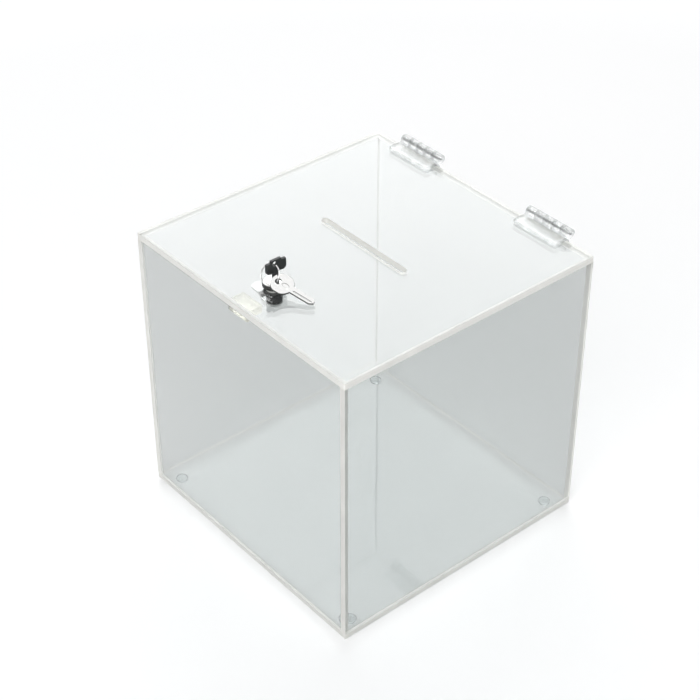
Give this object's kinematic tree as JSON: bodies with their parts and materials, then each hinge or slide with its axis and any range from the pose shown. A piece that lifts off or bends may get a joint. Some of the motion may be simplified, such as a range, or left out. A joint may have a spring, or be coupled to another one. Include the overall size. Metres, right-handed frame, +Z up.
{
  "type": "ballot box",
  "caption": "Clear acrylic ballot box with a slotted hinged lid, a cam lock with its key, and a spare key on a wire ring.",
  "frame": {"origin": "bottom centre of the box that holds the whole object, on the plane of the feet", "axes": "+Z up, -Y towards the lock side, +Y towards the hinges, +X along the ballot slot to the right when the lock side is in front"},
  "size_m": [0.25, 0.2542, 0.2739],
  "materials": {
    "clear_acrylic": "polished clear sheet",
    "strike_acrylic": "polished clear block",
    "hinge_plastic": "moulded clear plastic",
    "foot_vinyl": "soft clear bumper",
    "pin_steel": "drawn steel",
    "black_lock": "black coated zinc",
    "bright_metal": "bright plated",
    "wafer_brass": "stamped brass",
    "plated_steel": "zinc plated",
    "black_plastic": "moulded black plastic"
  },
  "bodies": {
    "box": {"base_panel": "clear_acrylic", "front_wall": "clear_acrylic", "rear_wall": "clear_acrylic", "left_wall": "clear_acrylic", "right_wall": "clear_acrylic", "strike_block": "strike_acrylic", "foot_front_left": "foot_vinyl", "foot_front_right": "foot_vinyl", "foot_rear_left": "foot_vinyl", "foot_rear_right": "foot_vinyl", "left_hinge_wall_leaf": "hinge_plastic", "right_hinge_wall_leaf": "hinge_plastic", "left_hinge_pin": "pin_steel", "right_hinge_pin": "pin_steel"},
    "lid": {"lid_panel": "clear_acrylic", "left_hinge_lid_leaf": "hinge_plastic", "right_hinge_lid_leaf": "hinge_plastic", "lock_housing": "black_lock", "lock_bezel": "bright_metal", "lock_nut": "black_lock"},
    "lock_core": {"lock_plug": "bright_metal", "lock_wafers": "wafer_brass", "wafer_springs": "plated_steel", "lock_cam": "plated_steel", "cam_washer": "plated_steel", "cam_screw": "plated_steel"},
    "key": {"key_blade": "bright_metal", "key_head": "black_plastic"},
    "key_ring": {"key_ring": "bright_metal"},
    "spare_key": {"spare_key": "bright_metal"}
  },
  "joints": [
    {"name": "lid_hinge", "type": "hinge", "parent": "box", "child": "lid", "pos_m": [0, 0.1231, 0.2552], "axis": [-1, 0, 0], "range_deg": [0, 250]},
    {"name": "lock_turn", "type": "hinge", "parent": "lid", "child": "lock_core", "pos_m": [0, -0.0905, 0.251], "axis": [0, 0, 1], "range_deg": [0, 90]},
    {"name": "key_slide", "type": "slide", "parent": "lock_core", "child": "key", "axis": [0, 0, 1], "range_m": [0, 0.024]},
    {"name": "ring_swing", "type": "hinge", "parent": "key", "child": "key_ring", "pos_m": [0.00006, -0.09016, 0.27001], "axis": [-0.9848, -0.1736, 0], "range_deg": [0, 45]},
    {"name": "spare_swing", "type": "hinge", "parent": "key_ring", "child": "spare_key", "pos_m": [0.00892, -0.09423, 0.26115], "axis": [-0.166, -0.549, -0.8192], "range_deg": [0, 50]}
  ]
}
